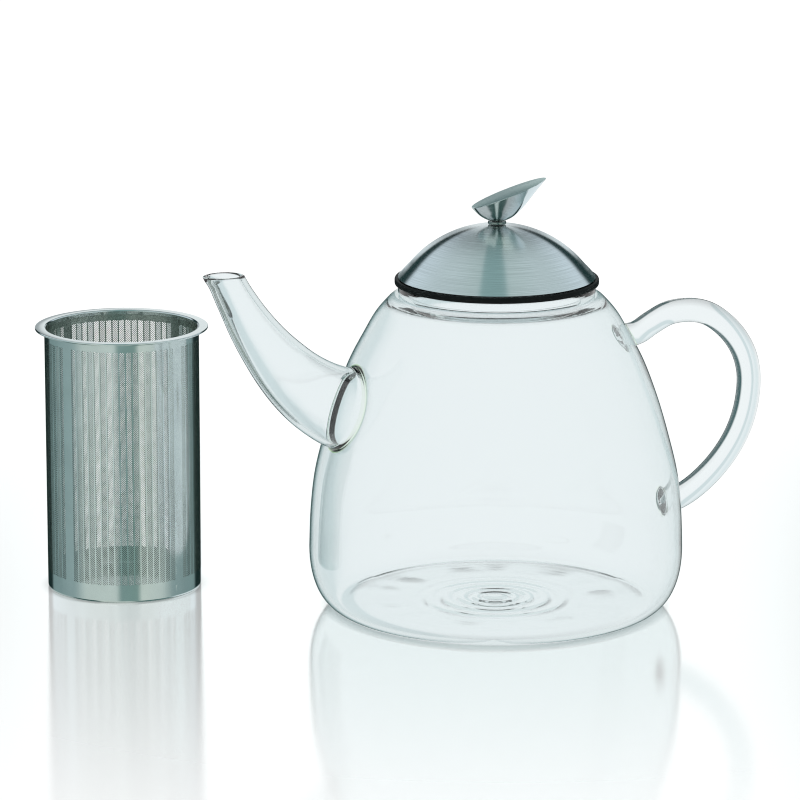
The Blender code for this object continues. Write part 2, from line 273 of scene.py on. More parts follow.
def ring_brushed(name, colour, roughness, aniso, ring_scale):
    """Sheet steel brushed in rings round the lid's axis."""
    made, tree, shader = blank(name)
    coordinates = add(tree, "ShaderNodeTexCoord").outputs["Object"]
    split = add(tree, "ShaderNodeSeparateXYZ", {"Vector": coordinates})
    flat = add(tree, "ShaderNodeCombineXYZ", {"X": split.outputs["X"], "Y": split.outputs["Y"]}).outputs[0]
    radius = add(tree, "ShaderNodeVectorMath", {0: flat}, operation="LENGTH").outputs["Value"]
    along = maths(tree, "SUBTRACT", radius, split.outputs["Z"])
    turn = maths(tree, "ARCTAN2", split.outputs["Y"], split.outputs["X"])
    lines = add(
        tree,
        "ShaderNodeCombineXYZ",
        {"X": maths(tree, "MULTIPLY", along, ring_scale), "Y": maths(tree, "MULTIPLY", turn, 1.5)},
    ).outputs[0]
    grain = add(tree, "ShaderNodeTexNoise", {"Vector": lines, "Scale": 1.0, "Detail": 4.0}).outputs["Fac"]
    dark = tuple(c * 0.80 for c in colour)
    tree.links.new(ramp(tree, grain, ((0.35, dark), (0.65, colour))), shader.inputs["Base Color"])
    tree.links.new(ranged(tree, grain, roughness - 0.05, roughness + 0.06), shader.inputs["Roughness"])
    tree.links.new(bump(tree, grain, 0.14, 0.00005), shader.inputs["Normal"])
    tangent = add(tree, "ShaderNodeTangent", direction_type="RADIAL", axis="Z").outputs[0]
    tree.links.new(tangent, shader.inputs["Tangent"])
    shader.inputs["Metallic"].default_value = 1.0
    shader.inputs["Anisotropic"].default_value = aniso
    shader.inputs["Anisotropic Rotation"].default_value = 0.25
    return made


def steel(name, colour, roughness, stretch, scale, depth):
    """Bright steel with fine drawn grain."""
    made, tree, shader = blank(name)
    grain = noise(tree, scale, stretch, 4.0)
    cloud = noise(tree, 90.0)
    dark = tuple(c * 0.93 for c in colour)
    tree.links.new(ramp(tree, cloud, ((0.35, dark), (0.65, colour))), shader.inputs["Base Color"])
    tree.links.new(ranged(tree, grain, roughness * 0.8, roughness * 1.25), shader.inputs["Roughness"])
    tree.links.new(bump(tree, grain, 0.15, depth), shader.inputs["Normal"])
    shader.inputs["Metallic"].default_value = 1.0
    return made


def silicone(name):
    made, tree, shader = blank(name)
    grain = noise(tree, 900.0)
    black = ((0.3, (0.002, 0.003, 0.003)), (0.7, (0.005, 0.007, 0.007)))
    tree.links.new(ramp(tree, grain, black), shader.inputs["Base Color"])
    tree.links.new(ranged(tree, grain, 0.42, 0.55), shader.inputs["Roughness"])
    tree.links.new(bump(tree, grain, 0.15, 0.0001), shader.inputs["Normal"])
    shader.inputs["Specular IOR Level"].default_value = 0.10
    return made


# ---------------------------------------------------------------- shapes
def smooth(stations, steps):
    """Catmull-Rom curve through the stations."""
    points = np.array(stations, float)
    last = len(points) - 1
    out = []
    for i in range(last):
        a, b, c, d = points[max(i - 1, 0)], points[i], points[i + 1], points[min(i + 2, last)]
        for k in range(steps):
            t = k / steps
            square = (2 * a - 5 * b + 4 * c - d) * t**2
            cube = (3 * b - a - 3 * c + d) * t**3
            out.append((2 * b + (c - a) * t + square + cube) / 2)
    out.append(points[-1])
    return np.array(out)


def step_up(t):
    t = np.clip(t, 0.0, 1.0)
    return t * t * (3 - 2 * t)


def mesh_object(name, verts, faces, materials, sharp=35.0, kinds=None):
    mesh = bpy.data.meshes.new(name)
    mesh.from_pydata([tuple(v) for v in verts], [], faces)
    if kinds:
        mesh.polygons.foreach_set("material_index", kinds)
    work = bmesh.new()
    work.from_mesh(mesh)
    bmesh.ops.remove_doubles(work, verts=work.verts, dist=1e-6)
    bmesh.ops.dissolve_degenerate(work, edges=work.edges, dist=1e-7)
    bmesh.ops.recalc_face_normals(work, faces=work.faces)
    work.to_mesh(mesh)
    work.free()
    mesh.shade_smooth()
    mesh.set_sharp_from_angle(angle=math.radians(sharp))
    piece = bpy.data.objects.new(name, mesh)
    bpy.context.scene.collection.objects.link(piece)
    for material in materials:
        mesh.materials.append(material)
    return piece


def finish_piece(piece, body, slot, *nodes):
    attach(piece, body)
    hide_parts(*nodes)


def lathe(name, profile, closed, segments, materials, centre=(0.0, 0.0), sharp=35.0):
    """A profile of (radius, height) turned round an upright axis."""
    verts = []
    for r, z in profile:
        for k in range(segments):
            a = math.tau * k / segments
            verts.append((centre[0] + r * math.cos(a), centre[1] + r * math.sin(a), z))
    faces = []
    rows = len(profile)
    for j in range(rows if closed else rows - 1):
        a, b = j * segments, (j + 1) % rows * segments
        for k in range(segments):
            n = (k + 1) % segments
            faces.append((a + k, a + n, b + n, b + k))
    return mesh_object(name, verts, faces, materials, sharp)


def rounded(corners, radius, steps=3):
    """A closed outline with each corner turned on a small radius."""
    points = []
    count = len(corners)
    for i, corner in enumerate(corners):
        p = np.array(corner)
        before = np.array(corners[i - 1]) - p
        after = np.array(corners[(i + 1) % count]) - p
        reach = min(radius, np.hypot(*before) * 0.45, np.hypot(*after) * 0.45)
        a = p + before / np.hypot(*before) * reach
        b = p + after / np.hypot(*after) * reach
        for k in range(steps + 1):
            t = k / steps
            points.append((1 - t) ** 2 * a + 2 * t * (1 - t) * p + t**2 * b)
    return [tuple(q) for q in points]


def turned_inwards(points, distance):
    before = np.vstack([points[:1], points[:-1]])
    after = np.vstack([points[1:], points[-1:]])
    along = after - before
    along /= np.hypot(along[:, 0], along[:, 1])[:, None]
    return points + np.stack([along[:, 1], -along[:, 0]], 1) * distance


class Pot:
    """The fused glass of the pot: body, spout and handle as one closed skin."""

    OUTER, INNER, FLOOR, WELD = range(4)

    def __init__(self):
        self.verts = []
        self.faces = []
        self.kinds = []
        side = smooth(SHOULDER, 7)
        foot = []
        for k in range(1, 19):
            z = BELLY_Z * (1 - math.sin(k / 18 * math.pi / 2))
            inset = (1 - z / BELLY_Z) ** BELLY_POWER
            foot.append((FOOT_R + (BELLY_R - FOOT_R) * max(1 - inset, 0.0) ** (1 / BELLY_POWER), z))
        outer = np.vstack([side, foot])
        inner = turned_inwards(outer, WALL)
        keep = (outer[:, 1] < NECK_FROM_Z) & (inner[:, 1] > WALL + 0.0004)
        self.outer_r = lambda z: np.interp(z, outer[::-1, 1], outer[::-1, 0])
        self.inner_r = lambda z: np.interp(z, inner[keep][::-1, 1], inner[keep][::-1, 0])
        ripples = smooth(RIPPLES, 3) + np.array((0.0, WALL))
        floor = np.vstack([ripples, [(FLOOR_END_R, WALL)]])
        under = [(r, 0.0) for r in UNDERSIDE]
        mouth, bead = smooth(MOUTH, 4)[:-1], smooth(BEAD, 4)[:-1]
        profile = [floor, inner[keep][::-1], mouth, bead, outer, np.array(under)]
        starts = np.cumsum([0] + [len(p) for p in profile])
        self.rows = np.vstack(profile)
        self.outer_rows = range(starts[4], starts[5])
        self.inner_rows = range(starts[1], starts[2])
        angles = np.arange(COLUMNS) * math.tau / COLUMNS
        for j, (r, z) in enumerate(self.rows):
            for a in angles:
                rise = 0.0
                if j < starts[1]:
                    ring = math.exp(-(((r - FLOOR_UNEVEN_R) / FLOOR_UNEVEN_WIDTH) ** 2))
                    waves = sum(w * math.sin(n * a + p) for n, p, w in FLOOR_UNEVEN)
                    rise = FLOOR_UNEVEN_RISE * ring * waves
                self.verts.append(np.array((r * math.cos(a), r * math.sin(a), z + rise)))
        self.floor_rows = set(range(starts[1])) | set(range(starts[5], starts[6]))
        self.holes = set()

    def block(self, rows, centre, reach):
        """The block of cells round a root, as (first row, last row, first column, last column)."""
        near = [j for j in rows if abs(self.rows[j][1] - centre[2]) < reach]
        middle = round(math.atan2(centre[1], centre[0]) / math.tau * COLUMNS)
        radius = math.hypot(centre[0], centre[1])
        half = round(reach / (radius * math.tau / COLUMNS))
        return min(near), max(near), middle - half, middle + half

    def open(self, block):
        j0, j1, i0, i1 = block
        for j in range(j0, j1):
            for i in range(i0, i1):
                self.holes.add((j, i % COLUMNS))
        edge = [(j0, i) for i in range(i0, i1)] + [(j, i1) for j in range(j0, j1)]
        edge += [(j1, i) for i in range(i1, i0, -1)] + [(j, i0) for j in range(j1, j0, -1)]
        return [j * COLUMNS + i % COLUMNS for j, i in edge]

    def skin(self):
        count = len(self.rows)
        for j in range(count - 1):
            for i in range(COLUMNS):
                if (j, i) not in self.holes:
                    n = (i + 1) % COLUMNS
                    a, b = j * COLUMNS, (j + 1) * COLUMNS
                    self.faces.append((a + i, a + n, b + n, b + i))
                    outside = j >= self.outer_rows[0]
                    kind = self.OUTER if outside else self.INNER
                    self.kinds.append(self.FLOOR if j in self.floor_rows else kind)

    def loop(self, points):
        start = len(self.verts)
        self.verts.extend(points)
        return list(range(start, start + len(points)))

    def bridge(self, a, b, kind):
        for k in range(len(a)):
            n = (k + 1) % len(a)
            self.faces.append((a[k], a[n], b[n], b[k]))
            self.kinds.append(kind)

    def on_wall(self, root, angles, radii, radius_at):
        """How far along the root's axis each point of a ring has to move to lie on the wall."""
        spokes = np.cos(angles)[:, None] * root["up"] + np.sin(angles)[:, None] * Y
        ring = root["at"] + radii[:, None] * spokes
        low = np.full(len(angles), -0.03)
        high = np.full(len(angles), 0.03)
        for _ in range(40):
            middle = (low + high) / 2
            p = ring + middle[:, None] * root["out"]
            outside = np.hypot(p[:, 0], p[:, 1]) > radius_at(p[:, 2])
            high = np.where(outside, middle, high)
            low = np.where(outside, low, middle)
        return ring, (low + high) / 2

    def root_rings(self, root, edge, radius, fillet, radius_at, kind, loops=4, turns=6):
        """Rings over the wall from the opened block to the fillet's foot, and up the fillet."""
        points = np.array([self.verts[k] for k in edge]) - root["at"]
        across = points @ root["up"]
        beside = points @ Y
        angles = np.arctan2(beside, across)
        order = np.argsort(angles)
        edge = [edge[k] for k in order]
        angles = angles[order]
        reach = np.hypot(across, beside)[order]
        last = edge
        for k in range(1, loops + 1):
            t = k / loops
            ring, depth = self.on_wall(root, angles, reach * (1 - t) + (radius + fillet) * t, radius_at)
            now = self.loop(ring + depth[:, None] * root["out"])
            self.bridge(last, now, kind)
            last = now
        for k in range(1, turns + 1):
            t = k / turns * math.pi / 2
            radii = np.full(len(angles), radius + fillet * (1 - math.sin(t)))
            ring, depth = self.on_wall(root, angles, radii, radius_at)
            now = self.loop(ring + (depth + fillet * (1 - math.cos(t)))[:, None] * root["out"])
            self.bridge(last, now, self.WELD)
            last = now
        return last, angles, depth


class Line:
    """A centreline in the plane of spout and handle, measured from where it leaves the wall."""

    def __init__(self, stations, side, radius_at):
        dense = smooth(stations, 24)
        points = np.stack([dense[:, 0] * side, np.zeros(len(dense)), dense[:, 1]], 1)
        along = np.r_[0.0, np.cumsum(np.linalg.norm(np.diff(points, axis=0), axis=1))]
        outside = dense[:, 0] > radius_at(dense[:, 1])
        first = int(np.argmax(outside))
        last = len(outside) - 1 - int(np.argmax(outside[::-1]))
        self.points, self.along = points, along - along[first]
        self.end = along[last] - along[first]
        self.width = dense[:, 2] if dense.shape[1] > 2 else None

    def at(self, s):
        return np.array([np.interp(s, self.along, self.points[:, k]) for k in range(3)])

    def towards(self, s):
        step = self.at(s + 0.0012) - self.at(s - 0.0012)
        return step / np.linalg.norm(step)

    def radius(self, s):
        return float(np.interp(s, self.along, self.width))

    def root(self, s, sign):
        out = self.towards(s) * sign
        return {"at": self.at(s), "out": out, "up": np.cross(Y, self.towards(s))}


def add_spout(pot):
    line = Line(SPOUT, -1.0, pot.outer_r)
    root = line.root(0.0, 1.0)
    fillet, inner_fillet = SPOUT_FILLET, SPOUT_INNER_FILLET
    outer_0 = line.radius(fillet)
    inner_0 = outer_0 - SPOUT_WALL
    reach = outer_0 + fillet + 0.004
    outer_block = pot.block(pot.outer_rows, root["at"], reach)
    edge = pot.open(outer_block)
    last, angles, depth = pot.root_rings(root, edge, outer_0, fillet, pot.outer_r, pot.OUTER)
    heights = line.points[:, 2]
    tip = float(np.interp(SPOUT_TIP_Z, heights, line.along))

    def ring(s, inset, start, depths, zero, lift=0.0):
        """One ring of the tube, bent to the wall near its root and cut level at its tip."""
        towards = line.towards(s)
        up = np.cross(Y, towards)
        radius = line.radius(s) - inset
        lip = SPOUT_LIP * step_up((s - tip + 0.0045) / 0.0045)
        radii = radius + lip * np.clip(-np.cos(angles), 0.0, 1.0) ** 2
        points = line.at(s) + radii[:, None] * (np.cos(angles)[:, None] * up + np.sin(angles)[:, None] * Y)
        bend = (depths - zero) * (1 - step_up((s - start) / 0.016))
        level = -(points[:, 2] - line.at(s)[2]) / towards[2] * step_up((s - tip + 0.014) / 0.014)
        return points + (bend + level)[:, None] * towards + np.array((0.0, 0.0, lift))

    for s in np.linspace(fillet, tip, 46)[1:]:
        now = pot.loop(ring(s, 0.0, fillet, depth, 0.0))
        pot.bridge(last, now, pot.OUTER)
        last = now
    half = SPOUT_WALL / 2
    for k in range(1, 6):
        a = math.pi * k / 6
        now = pot.loop(ring(tip, half - half * math.cos(a), fillet, depth, 0.0, half * 0.6 * math.sin(a)))
        pot.bridge(last, now, pot.OUTER)
        last = now
    j0, j1, i0, i1 = outer_block
    low = min(j for j in pot.inner_rows if abs(pot.rows[j][1] - root["at"][2]) < reach)
    edge = pot.open((low, low + j1 - j0, i0, i1))
    goal, inner_angles, inner_depth = pot.root_rings(
        root, edge, inner_0, inner_fillet, pot.inner_r, pot.INNER
    )
    _, centre_depth = pot.on_wall(root, np.zeros(1), np.zeros(1), pot.inner_r)
    centre_depth = float(centre_depth[0])
    start = centre_depth + inner_fillet
    outer_angles = angles
    for s in np.linspace(tip, start, 48)[:-1]:
        mix = step_up((tip - s) / (tip - start))
        angles = outer_angles * (1 - mix) + inner_angles * mix
        now = pot.loop(ring(s, SPOUT_WALL, start, inner_depth, centre_depth))
        pot.bridge(last, now, pot.INNER)
        last = now
    pot.bridge(last, goal, pot.INNER)


def add_handle(pot):
    line = Line(HANDLE, 1.0, pot.outer_r)
    top = line.root(0.0, 1.0)
    bottom = line.root(line.end, -1.0)
    fillet = HANDLE_FILLET
    ends = []
    top_block = pot.block(pot.outer_rows, top["at"], HANDLE_REACH)
    perimeter = (top_block[1] - top_block[0]) + (top_block[3] - top_block[2])
    low_block = pot.block(pot.outer_rows, bottom["at"], HANDLE_REACH)
    rows = low_block[1] - low_block[0]
    columns = perimeter - rows
    middle = round((low_block[2] + low_block[3]) / 2)
    if columns % 2:
        columns += 1
        rows -= 1
    low_block = (low_block[0], low_block[0] + rows, middle - columns // 2, middle + columns // 2)
    for root, block in ((top, top_block), (bottom, low_block)):
        edge = pot.open(block)
        ends.append(pot.root_rings(root, edge, HANDLE_R, fillet, pot.outer_r, pot.OUTER, 3, 5))
    (last, a0, d0), (goal, a1, d1) = ends
    stations = np.linspace(fillet, line.end - fillet, 96)
    for s in stations[1:-1]:
        mix = step_up((s - fillet) / (line.end - 2 * fillet))
        angles = a0 * (1 - mix) + a1 * mix
        towards = line.towards(s)
        up = np.cross(Y, towards)
        points = line.at(s) + HANDLE_R * (np.cos(angles)[:, None] * up + np.sin(angles)[:, None] * Y)
        bend = d0 * (1 - step_up((s - fillet) / 0.010))
        bend = bend - d1 * (1 - step_up((line.end - fillet - s) / 0.010))
        now = pot.loop(points + bend[:, None] * towards)
        pot.bridge(last, now, pot.OUTER)
        last = now
    pot.bridge(last, goal, pot.OUTER)
    # Inside the wall, each root leaves a shallow swelling.
    count = len(pot.inner_rows) * COLUMNS
    begin = pot.inner_rows[0] * COLUMNS
    for root in (top, bottom):
        for k in range(begin, begin + count):
            away = pot.verts[k] - root["at"]
            along = away @ root["out"]
            beside = np.linalg.norm(away - along * root["out"])
            if beside < 0.012 and along > -0.02:
                pot.verts[k] = pot.verts[k] - root["out"] * 0.0007 * math.exp(-((beside / 0.0036) ** 2))


def build_pot():
    pot = Pot()
    add_spout(pot)
    add_handle(pot)
    pot.skin()
    outer = (
        (0.0, (0.97, 0.985, 0.985)),
        (0.60, (0.95, 0.97, 0.972)),
        (0.72, (0.86, 0.91, 0.92)),
        (0.79, (0.48, 0.60, 0.61)),
        (0.85, (0.17, 0.27, 0.27)),
        (0.90, (0.02, 0.05, 0.05)),
    )
    inner = (
        (0.0, (0.97, 0.985, 0.985)),
        (0.50, (0.95, 0.97, 0.972)),
        (0.80, (0.88, 0.93, 0.93)),
        (1.0, (0.42, 0.56, 0.55)),
    )
    floor = ((0.0, (0.985, 0.995, 0.995)), (0.80, (0.96, 0.98, 0.98)), (1.0, (0.70, 0.80, 0.79)))
    weld = (
        (0.0, (0.92, 0.97, 0.90)),
        (0.42, (0.82, 0.93, 0.75)),
        (0.62, (0.40, 0.64, 0.27)),
        (0.85, (0.05, 0.14, 0.04)),
    )
    materials = [
        glass_material("glass_outside", outer),
        glass_material("glass_inside", inner),
        glass_material("glass_floor", floor),
        glass_material("glass_weld", weld),
    ]
    piece = mesh_object("pot_glass", pot.verts, pot.faces, materials, 60.0, pot.kinds)
    finish_piece(piece, "pot", "body_glass", "glass_body", "glass_neck", "spout", "handle")


def dome_point(z, shell):
    flare = DOME_FLARE * max(DOME_FLARE_Z - z, 0.0) / (DOME_FLARE_Z - DOME_EDGE_Z)
    return math.sqrt(max(shell**2 - (z - DOME_CENTRE_Z) ** 2, 0.0)) + flare, z


def build_lid():
    def side(shell, edge_z):
        start = math.asin(SCREW_HOLE_R / shell)
        end = math.acos((edge_z - DOME_CENTRE_Z) / shell)
        angles = [start + (end - start) * k / 40 for k in range(41)]
        return [dome_point(DOME_CENTRE_Z + shell * math.cos(a), shell) for a in angles]

    outside = side(DOME_R, DOME_EDGE_Z + 0.0002)
    inside = side(DOME_R - DOME_SHEET, DOME_EDGE_Z + 0.0002)
    edge_r = outside[-1][0]
    edge = [(edge_r - 0.0001, DOME_EDGE_Z + 0.00005), (edge_r - 0.0004, DOME_EDGE_Z)]
    brushed = ring_brushed("dome_steel", (0.76, 0.81, 0.82), 0.20, 0.90, 3000.0)
    dome = lathe("lid_dome_sheet", outside + edge + inside[::-1], True, 128, [brushed], sharp=40.0)
    finish_piece(dome, "lid", "brushed_dome", "lid_dome")

    low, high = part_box("seal_ring")
    corners = [
        (RING_INNER_R, high.z),
        (high.x, high.z),
        (high.x, low.z),
        (RING_LIP_R, low.z),
        RING_SEAT,
        (RING_INNER_R, RING_SEAT[1]),
    ]
    black = silicone("silicone")
    ring = lathe("seal_ring_silicone", rounded(corners, 0.0006, 4), True, 128, [black], sharp=50.0)
    finish_piece(ring, "lid_seal", "black_silicone", "seal_ring")

    polished = steel("knob_polished", (0.74, 0.80, 0.81), 0.05, (1.0, 1.0, 14.0), 500.0, 0.000005)
    satin = steel("knob_satin", (0.44, 0.60, 0.58), 0.34, (1.0, 9.0, 1.0), 900.0, 0.00005)
    work = bmesh.new()
    profile = [(0.0, KNOB[0][1])] + [tuple(p) for p in smooth(KNOB, 6)] + [(0.0, KNOB[-1][1])]
    segments = 96
    rings = []
    for r, z in profile:
        turns = [math.tau * k / segments for k in range(segments)]
        rings.append([work.verts.new((r * math.cos(a), r * math.sin(a), z)) for a in turns])
    for a, b in zip(rings, rings[1:]):
        for k in range(segments):
            n = (k + 1) % segments
            work.faces.new((a[k], a[n], b[n], b[k]))
    bmesh.ops.remove_doubles(work, verts=work.verts, dist=1e-6)
    lean = math.sin(KNOB_FACE_SLOPE)
    upright = math.cos(KNOB_FACE_SLOPE)
    normal = Vector((-lean * math.cos(KNOB_TURN), -lean * math.sin(KNOB_TURN), upright))
    everything = list(work.verts) + list(work.edges) + list(work.faces)
    cut = bmesh.ops.bisect_plane(
        work, geom=everything, plane_co=(0.0, 0.0, KNOB_FACE_MID_Z), plane_no=normal, clear_outer=True
    )
    rim = [e for e in cut["geom_cut"] if isinstance(e, bmesh.types.BMEdge)]
    face = bmesh.ops.contextual_create(work, geom=rim)["faces"]
    bmesh.ops.recalc_face_normals(work, faces=work.faces)
    edges = list(face[0].edges)
    bmesh.ops.bevel(work, geom=edges, offset=KNOB_FACE_EDGE, segments=2, profile=0.5, affect="EDGES")
    mesh = bpy.data.meshes.new("knob_body")
    for f in work.faces:
        f.material_index = 1 if f.normal.dot(normal) > 0.999 and f.calc_area() > 1e-5 else 0
    work.to_mesh(mesh)
    work.free()
    mesh.shade_smooth()
    mesh.set_sharp_from_angle(angle=math.radians(30))
    mesh.materials.append(polished)
    mesh.materials.append(satin)
    knob = bpy.data.objects.new("knob_body", mesh)
    bpy.context.scene.collection.objects.link(knob)
    finish_piece(knob, "lid", "knob_steel", "knob")

    low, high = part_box("knob_collar")
    corners = [(SCREW_HOLE_R, high.z), (high.x, high.z), (high.x, low.z), (SCREW_HOLE_R, low.z)]
    # Painted dark reflection: the polished collar is given a dark steel colour where its real darkness is a
    # reflection.
    shaded = steel("collar_painted_dark_reflection", (0.26, 0.30, 0.29), 0.12, (1.0, 1.0, 14.0), 500.0, 0.00001)
    collar = lathe("collar_ring", rounded(corners, 0.0003, 4), True, 96, [shaded], sharp=50.0)
    finish_piece(collar, "lid", "collar_steel", "knob_collar")
    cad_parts["lid_screw"].data.materials.clear()
    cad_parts["lid_screw"].data.materials.append(
        steel("screw_machined", (0.55, 0.58, 0.58), 0.30, (1.0, 1.0, 20.0), 800.0, 0.00005)
    )


def build_sleeve(outside, inside):
    """Perforated sheet: four panels of slanted slots in herringbone columns, between plain strips."""
    low_z, high_z = 0.0009, RIM_HIGH.z - 0.0018
    viewer = EYE - STRAINER
    view = math.atan2(viewer.y, viewer.x)
    strip, columns = PLAIN_STRIP, SLOT_COLUMNS
    slope = math.tan(SLOT_SLOPE)
    bottom, top = CUP_HIGH.z, RIM_LOW.z - 0.0006
    shares = (0.0, 0.09, 0.36, 0.64, 0.91)
    angles, offsets, cut = [], [], []
    for panel in range(4):
        centre = math.radians(-135.0 + 90.0 * panel)
        start = centre + strip / 2
        width = (math.radians(90.0) - strip) / columns
        arc = width * SLEEVE_R * slope
        for k in range(4):
            angles.append(centre - strip / 2 + strip * k / 4)
            offsets.append(0.0)
            cut.append(False)
        for column in range(columns):
            for part, share in enumerate(shares):
                angles.append(start + (column + share) * width)
                offsets.append(arc * (share if column % 2 == 0 else 1 - share))
                cut.append(0 < part < 4)
        angles.append(start + columns * width)
        offsets.append(arc)
        cut.append(False)
    total = len(angles)
    levels = [(low_z, False)]
    for k in range(int((top - bottom + arc) / SLOT_PITCH)):
        height = bottom - arc + k * SLOT_PITCH
        levels += [(height, True), (height + SLOT_WIDTH, True)]
    levels.append((high_z, False))
    verts = []
    for height, slanted in levels:
        for angle, offset in zip(angles, offsets):
            z = height + (offset if slanted else 0.0)
            x, y = SLEEVE_R * math.cos(view + angle), SLEEVE_R * math.sin(view + angle)
            verts.append((STRAINER.x + x, STRAINER.y + y, min(max(z, low_z), high_z)))
    faces = []
    for j in range(len(levels) - 1):
        for k in range(total):
            n = (k + 1) % total
            middle = levels[j][0] + (offsets[k] + offsets[n]) / 2
            if j % 2 and cut[k] and bottom < middle < top:
                continue
            a, b = j * total, (j + 1) * total
            faces.append((a + k, a + n, b + n, b + k))
    mesh = bpy.data.meshes.new("sleeve_sheet")
    mesh.from_pydata(verts, [], faces)
    work = bmesh.new()
    work.from_mesh(mesh)
    bmesh.ops.dissolve_degenerate(work, edges=work.edges, dist=1e-7)
    bmesh.ops.recalc_face_normals(work, faces=work.faces)
    sample = list(work.faces)[:50]
    if sum((f.calc_center_median() - STRAINER).to_2d().dot(f.normal.to_2d()) for f in sample) < 0:
        bmesh.ops.reverse_faces(work, faces=work.faces)
    work.to_mesh(mesh)
    work.free()
    sleeve = bpy.data.objects.new("sleeve_sheet", mesh)
    bpy.context.scene.collection.objects.link(sleeve)
    mesh.materials.append(outside)
    mesh.materials.append(inside)
    thick = sleeve.modifiers.new("sheet", "SOLIDIFY")
    thick.thickness = SLOTTED_SHEET
    thick.offset = -1.0
    # The inner face and the slot edges take the second material, a darker copy of the sheet: painted shade.
    thick.material_offset = 1
    thick.material_offset_rim = 1
    bpy.context.view_layer.update()
    graph = bpy.context.evaluated_depsgraph_get()
    solid = bpy.data.meshes.new_from_object(sleeve.evaluated_get(graph))
    sleeve.modifiers.clear()
    sleeve.data = solid
    solid.name = "sleeve_sheet"
    solid.shade_smooth()
    solid.set_sharp_from_angle(angle=math.radians(30))
    finish_piece(sleeve, "strainer", "sleeve_steel", "strainer_sleeve")


def build_strainer():
    centre = (STRAINER.x, STRAINER.y)
    bright = steel("strainer_polished", (0.70, 0.75, 0.75), 0.10, (1.0, 1.0, 0.08), 700.0, 0.00002)
    sheet = steel("strainer_sheet", (0.66, 0.71, 0.71), 0.13, (1.0, 1.0, 0.08), 700.0, 0.00002)
    inner = SLEEVE_R - SLEEVE_SHEET
    top = RIM_HIGH.z
    edge = RIM_HIGH.x - STRAINER.x
    corners = [
        (inner, top - 0.0003),
        (inner + 0.0006, top),
        (edge, top),
        (edge, top - 0.0008),
        (SLEEVE_R + 0.0004, top - 0.0009),
        (SLEEVE_R, top - 0.0014),
        (SLEEVE_R, top - 0.0020),
        (inner, top - 0.0020),
    ]
    rim = lathe("rim_flange", rounded(corners, 0.0004, 4), True, 128, [bright], centre, 50.0)
    finish_piece(rim, "strainer", "rim_steel", "strainer_rim")
    corner = CUP_CORNER
    upper = corner + 0.0001
    outside = [(SLEEVE_R, upper)]
    inside = [(inner, upper)]
    for k in range(9):
        a = k / 8 * math.pi / 2
        outside.append((SLEEVE_R - corner + corner * math.cos(a), corner - corner * math.sin(a)))
        thin = corner - SLEEVE_SHEET
        inside.append((SLEEVE_R - corner + thin * math.cos(a), corner - thin * math.sin(a)))
    profile = [(0.0, SLEEVE_SHEET)] + inside[::-1] + outside + [(0.0, 0.0)]
    cup = lathe("cup_base", profile, False, 128, [bright], centre, 50.0)
    finish_piece(cup, "strainer", "cup_steel", "strainer_cup")
    # Painted shade: a darker copy of the sheet steel for the inside of the strainer and the slot edges.
    shaded = steel("strainer_inside_painted_shade", (0.50, 0.55, 0.52), 0.22, (1.0, 1.0, 0.08), 700.0, 0.00002)
    build_sleeve(sheet, shaded)


